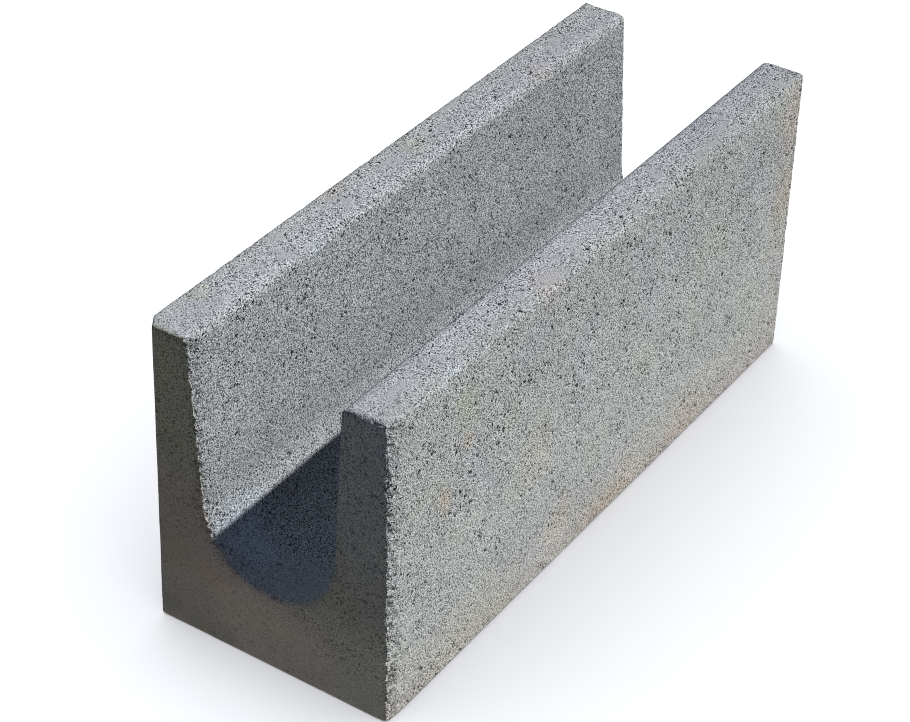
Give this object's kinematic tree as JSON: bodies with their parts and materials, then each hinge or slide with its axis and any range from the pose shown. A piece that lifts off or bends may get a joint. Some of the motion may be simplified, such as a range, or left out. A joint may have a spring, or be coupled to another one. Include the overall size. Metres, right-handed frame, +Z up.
{
  "type": "concrete channel block",
  "caption": "U-shaped block of cast concrete with an open channel along its top, laid end to end to take steel bars and a concrete fill.",
  "frame": {"origin": "middle of the bed face, the flat underside that the block stands on", "axes": "+Y along the channel and the block's length, +X across the block from one side wall to the other, +Z up out of the open channel"},
  "size_m": [0.18, 0.5, 0.23],
  "materials": {
    "concrete": "bare pressed concrete, open-grained and pitted, matte"
  },
  "bodies": {
    "root": {"channel_block": "concrete"}
  },
  "joints": []
}
